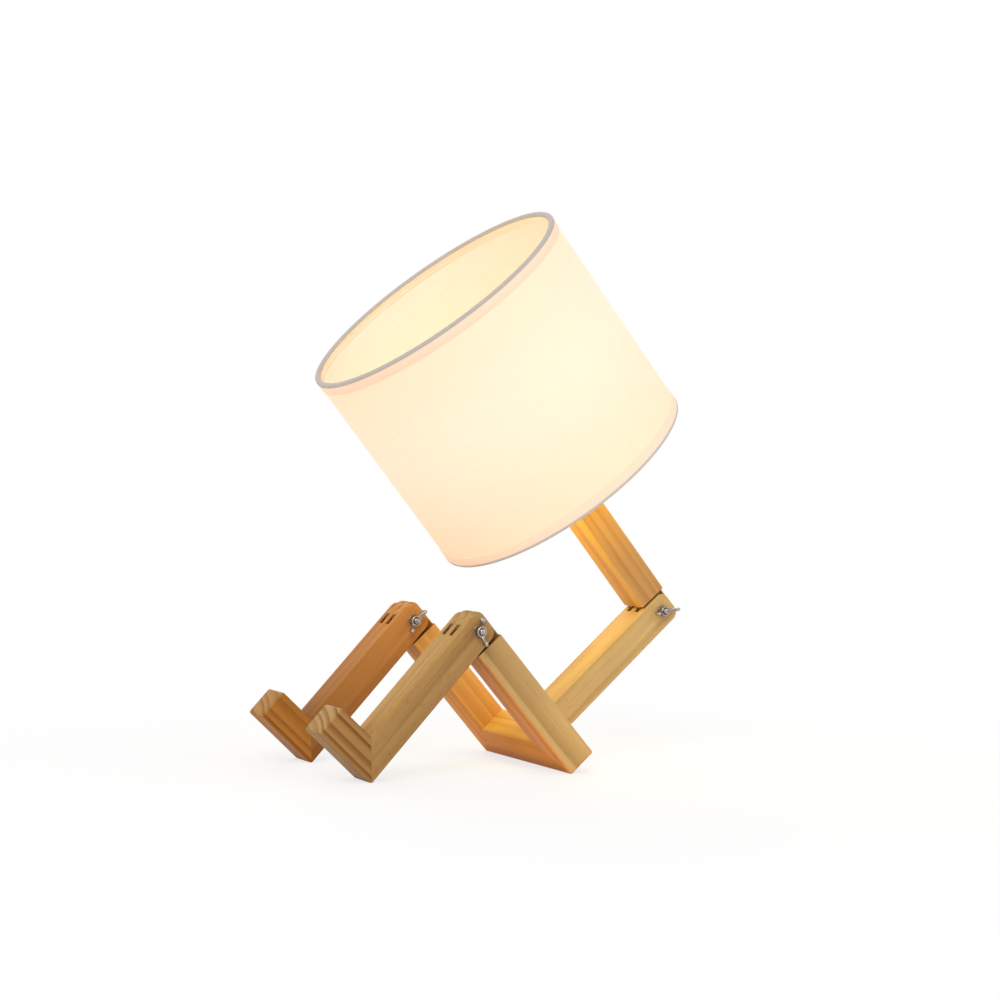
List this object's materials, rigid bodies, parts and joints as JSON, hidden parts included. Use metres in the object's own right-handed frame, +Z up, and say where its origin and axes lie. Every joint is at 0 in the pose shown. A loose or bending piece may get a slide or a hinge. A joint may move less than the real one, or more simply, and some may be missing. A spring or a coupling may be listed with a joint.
{
  "type": "desk lamp",
  "caption": "Jointed wooden figure that sits on the desk: folding legs, a bent torso and a tilting neck arm that carries a fabric drum shade over a screw-in bulb.",
  "frame": {"origin": "on the desk top, under the middle of the lamp's bounding box in the stored, seated pose", "axes": "+Z up, -X the way the figure faces and its toes point, +Y towards the figure's right leg, so the wing nuts are on the -Y side"},
  "size_m": [0.3032, 0.2008, 0.3936],
  "materials": {
    "beech": "clear satin lacquer",
    "dowel_wood": "bare",
    "nickel_plate": "bright nickel plate",
    "zinc_steel": "zinc plate",
    "brass": "bare",
    "black_plastic": "matt",
    "insulator_white": "semi-gloss",
    "bulb_white": "gloss",
    "light_board": "white solder mask",
    "globe_opal": "opal",
    "wire_white": "white epoxy coating",
    "lining_white": "matt film",
    "fabric_ivory": "plain weave",
    "hem_taupe": "tape"
  },
  "bodies": {
    "base": {"crossbar": "beech", "thigh_left": "beech", "thigh_right": "beech", "torso": "beech", "hip_dowels": "dowel_wood", "torso_dowels": "dowel_wood", "neck_bolt": "nickel_plate", "neck_washer": "nickel_plate"},
    "neck_nut": {"neck_wing_nut": "nickel_plate"},
    "left_leg": {"shin_left": "beech", "foot_left": "beech", "heel_dowel_left": "dowel_wood", "knee_bolt_left": "nickel_plate", "knee_washer_left": "nickel_plate"},
    "left_knee_nut": {"knee_wing_nut_left": "nickel_plate"},
    "right_leg": {"shin_right": "beech", "foot_right": "beech", "heel_dowel_right": "dowel_wood", "knee_bolt_right": "nickel_plate", "knee_washer_right": "nickel_plate"},
    "right_knee_nut": {"knee_wing_nut_right": "nickel_plate"},
    "head": {"arm": "beech", "cord_outlet": "black_plastic", "threaded_tube": "zinc_steel", "holder_cap": "black_plastic", "holder_insulator": "insulator_white", "terminal_screws": "brass", "centre_contact": "brass", "screw_sleeve": "brass", "holder_shell": "black_plastic", "shade_ring_lower": "black_plastic", "shade_ring_upper": "black_plastic", "bulb_contact": "nickel_plate", "bulb_cap": "nickel_plate", "bulb_housing": "bulb_white", "light_board": "light_board", "bulb_globe": "globe_opal", "fitter": "wire_white", "top_wire": "wire_white", "shade_lining": "lining_white", "shade_fabric": "fabric_ivory", "top_hem": "hem_taupe", "bottom_hem": "hem_taupe"}
  },
  "joints": [
    {"name": "neck", "type": "hinge", "parent": "base", "child": "head", "pos_m": [0.13946, 0, 0.10912], "axis": [0, 1, 0], "range_deg": [-4, 120]},
    {"name": "knee_left", "type": "hinge", "parent": "base", "child": "left_leg", "pos_m": [-0.03718, -0.052, 0.09943], "axis": [0, 1, 0], "range_deg": [0, 90]},
    {"name": "knee_right", "type": "hinge", "parent": "base", "child": "right_leg", "pos_m": [-0.03718, 0.052, 0.09943], "axis": [0, 1, 0], "range_deg": [0, 90]},
    {"name": "neck_nut_turn", "type": "hinge", "parent": "base", "child": "neck_nut", "pos_m": [0.13946, 0, 0.10912], "axis": [0, -1, 0], "range_deg": [0, 180]},
    {"name": "left_knee_nut_turn", "type": "hinge", "parent": "left_leg", "child": "left_knee_nut", "pos_m": [-0.03718, -0.052, 0.09943], "axis": [0, -1, 0], "range_deg": [0, 180]},
    {"name": "right_knee_nut_turn", "type": "hinge", "parent": "right_leg", "child": "right_knee_nut", "pos_m": [-0.03718, 0.052, 0.09943], "axis": [0, -1, 0], "range_deg": [0, 180]}
  ]
}
